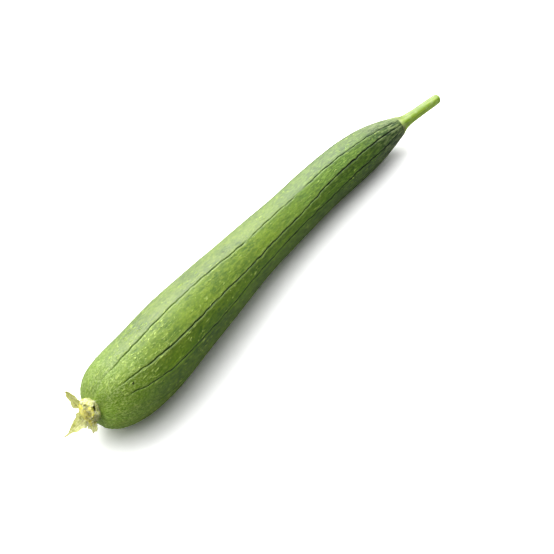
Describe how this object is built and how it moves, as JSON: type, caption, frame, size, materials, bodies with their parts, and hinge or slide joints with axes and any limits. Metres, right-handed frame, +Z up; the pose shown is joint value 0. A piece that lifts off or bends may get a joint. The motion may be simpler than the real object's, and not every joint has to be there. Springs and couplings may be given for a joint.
{
  "type": "sponge gourd",
  "caption": "Long smooth sponge gourd, thicker at the blossom end, with dark sunken lines, its cut stalk and a withered flower, lying down as picked.",
  "frame": {"origin": "on the surface it lies on, under the middle of the whole gourd's box, stalk and withered flower included", "axes": "+X along the fruit from the blossom end to the stalk, +Z up from the surface"},
  "size_m": [0.4228, 0.0578, 0.0552],
  "materials": {
    "gourd_skin": "waxy green skin, satin, with darker lines and paler flecks",
    "stem_green": "matte yellow-green stalk",
    "dried_sepal": "dry, matte, straw to olive brown",
    "dried_petal": "dry, matte, straw yellow with brown creases"
  },
  "bodies": {
    "root": {"fruit_body": "gourd_skin", "stem": "stem_green", "calyx": "dried_sepal", "withered_corolla": "dried_petal"}
  },
  "joints": []
}
